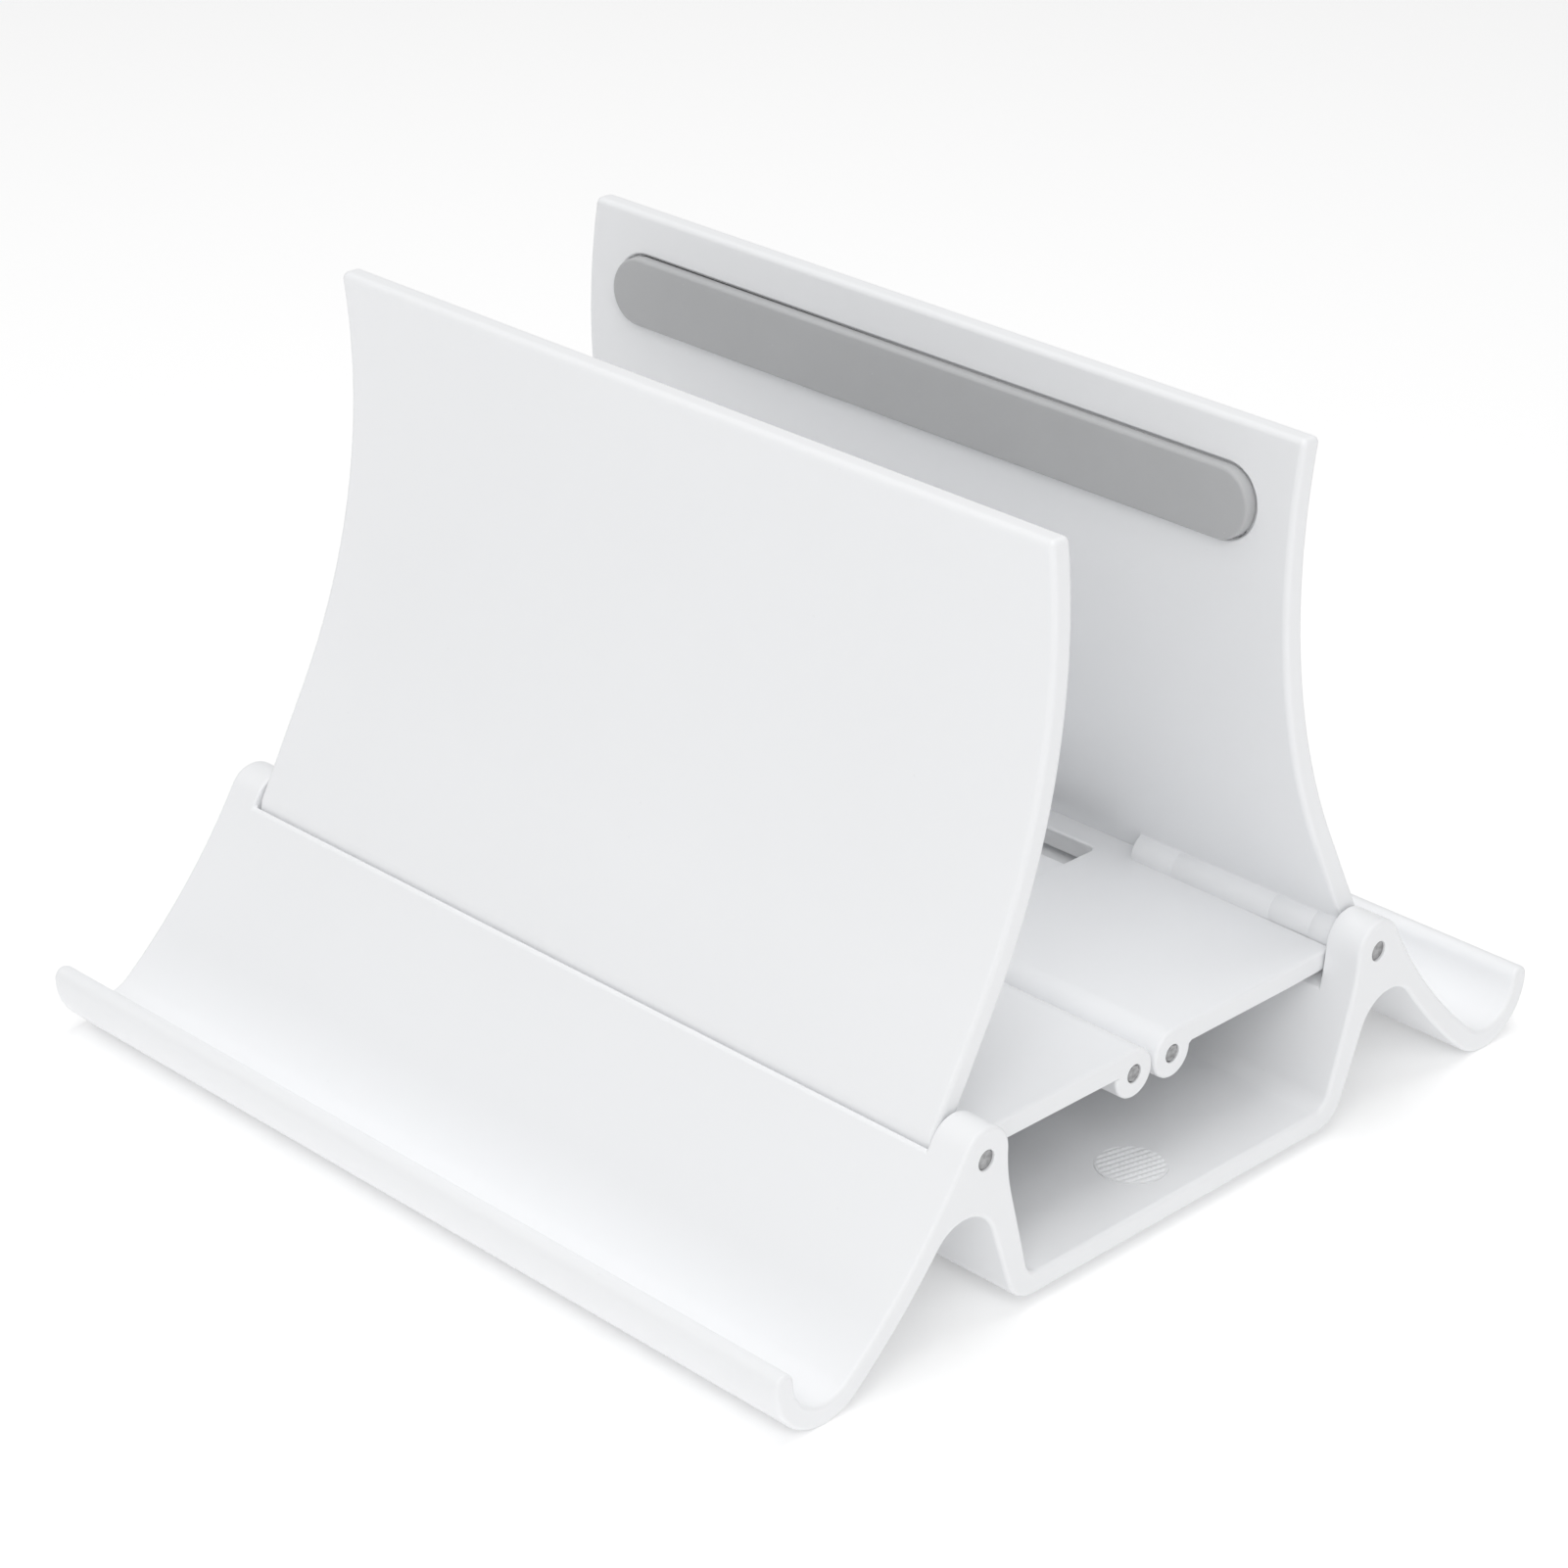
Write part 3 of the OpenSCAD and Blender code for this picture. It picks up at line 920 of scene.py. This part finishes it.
class STAND_OT_feet(bpy.types.Operator):
    """Mould the four rubber feet"""
    bl_idname = "stand.feet"
    bl_label = "Feet"

    def execute(self, context):
        rim = context.scene.stand_details.foot_round
        hub = 0.4 * MM
        groove = 0.25 * MM
        chamfer = 0.2 * MM
        for end in ENDS:
            for side in SIDES:
                node = f"{end}_{side}_foot"
                low, high = BOXES[node]
                radius = (high.x - low.x) / 2
                tall = high.z - low.z
                profile = [(hub, groove), (0.5 * radius, groove), (0.54 * radius, 0)]
                profile.append((radius - rim, 0))
                profile += quarter((radius - rim, rim), rim, -90)[1:]
                profile += [(radius, tall - chamfer), (radius - chamfer, tall), (hub, tall)]
                bm = turned(profile, 56)
                bmesh.ops.rotate(bm, verts=bm.verts, matrix=Matrix.Rotation(math.pi / 2, 3, "X"))
                piece = add_piece(
                    f"{end}_{side}_rubber_foot", to_mesh(bm, node), "base_body", "foot_rubber", [node])
                piece.location = Vector((middle(node).x, middle(node).y, low.z))
        return {"FINISHED"}


class STAND_OT_studio(bpy.types.Operator):
    """Lay the floor, hang the lights and set up the camera"""
    bl_idname = "stand.studio"
    bl_label = "Studio"

    lamp_side = 0.9
    sensor_width = 36

    def execute(self, context):
        studio = context.scene.stand_studio
        self.lay_floor(studio)
        self.light_room(studio)
        self.add_lamp("key_lamp", studio.key, Vector((-0.8, -0.8, 1.1)))
        self.add_lamp("right_lamp", studio.right, Vector((1.0, 0, 1.1)))
        self.add_lamp("top_lamp", studio.top, Vector((0, 0, 1.5)))
        self.add_lamp("rear_lamp", studio.rear, Vector((-0.5, 0.9, 1.1)))
        self.add_camera(studio)
        context.scene.view_settings.view_transform = "Standard"
        return {"FINISHED"}

    def lay_floor(self, studio):
        bm = bmesh.new()
        bmesh.ops.create_grid(bm, x_segments=4, y_segments=4, size=studio.floor_size / 2)
        mesh = bpy.data.meshes.new("floor")
        bm.to_mesh(mesh)
        bm.free()
        mesh.materials.append(floor_paint())
        floor = bpy.data.objects.new("floor", mesh)
        bpy.context.scene.collection.objects.link(floor)

    def light_room(self, studio):
        world = bpy.data.worlds.new("studio_room")
        world.use_nodes = True
        background = world.node_tree.nodes["Background"]
        background.inputs["Color"].default_value = (1, 1, 1, 1)
        background.inputs["Strength"].default_value = studio.sky
        bpy.context.scene.world = world

    def add_lamp(self, name, power, place):
        """Square soft lamp that faces the stand."""
        light = bpy.data.lights.new(name, "AREA")
        light.energy = power
        light.size = self.lamp_side
        lamp = bpy.data.objects.new(name, light)
        lamp.location = place
        aim = Vector((0, 0, WING_PIN.z)) - place
        lamp.rotation_euler = aim.to_track_quat("-Z", "Y").to_euler()
        bpy.context.scene.collection.objects.link(lamp)

    def add_camera(self, studio):
        flat = math.cos(studio.elevation)
        ahead = Vector((
            -math.sin(studio.azimuth) * flat,
            math.cos(studio.azimuth) * flat,
            -math.sin(studio.elevation)))
        level = ahead.cross(Vector((0, 0, 1))).normalized()
        upright = level.cross(ahead)
        right = level * math.cos(studio.roll) + upright * math.sin(studio.roll)
        up = right.cross(ahead)
        data = bpy.data.cameras.new("camera")
        data.lens = studio.lens
        data.sensor_width = self.sensor_width
        camera = bpy.data.objects.new("camera", data)
        bpy.context.scene.collection.objects.link(camera)
        turn = Matrix((right, up, -ahead)).transposed().to_4x4()
        camera.matrix_world = Matrix.Translation(Vector(studio.aim) - ahead * studio.distance) @ turn
        bpy.context.scene.camera = camera


GROUPS = {
    "stand_edges": StandEdges,
    "stand_pads": StandPads,
    "stand_details": StandDetails,
    "stand_finish": StandFinish,
    "stand_studio": StandStudio,
}
OPERATORS = (
    STAND_OT_base,
    STAND_OT_grip_disc,
    STAND_OT_wings,
    STAND_OT_barrel_sleeves,
    STAND_OT_bridge_plate,
    STAND_OT_grip_pads,
    STAND_OT_pad_tapes,
    STAND_OT_hinge_pins,
    STAND_OT_knuckle_pins,
    STAND_OT_return_springs,
    STAND_OT_feet,
    STAND_OT_studio,
)


class STAND_PT_parts(bpy.types.Panel):
    """Sizes, finishes and building steps of the stand"""
    bl_idname = "STAND_PT_parts"
    bl_label = "Laptop stand"
    bl_space_type = "VIEW_3D"
    bl_region_type = "UI"
    bl_category = "Stand"

    def draw(self, context):
        for operator in OPERATORS:
            self.layout.operator(operator.bl_idname)
        for group, kind in GROUPS.items():
            box = self.layout.box()
            for name in kind.__annotations__:
                box.prop(getattr(context.scene, group), name)


def register():
    for group, kind in GROUPS.items():
        bpy.utils.register_class(kind)
        setattr(bpy.types.Scene, group, PointerProperty(type=kind))
    for kind in (*OPERATORS, STAND_PT_parts):
        bpy.utils.register_class(kind)


def unregister():
    for kind in (STAND_PT_parts, *reversed(OPERATORS)):
        bpy.utils.unregister_class(kind)
    for group, kind in GROUPS.items():
        delattr(bpy.types.Scene, group)
        bpy.utils.unregister_class(kind)


def main():
    register()
    for operator in OPERATORS:
        step = operator.bl_idname.split(".")[1]
        getattr(bpy.ops.stand, step)()


if __name__ == "__main__":
    main()
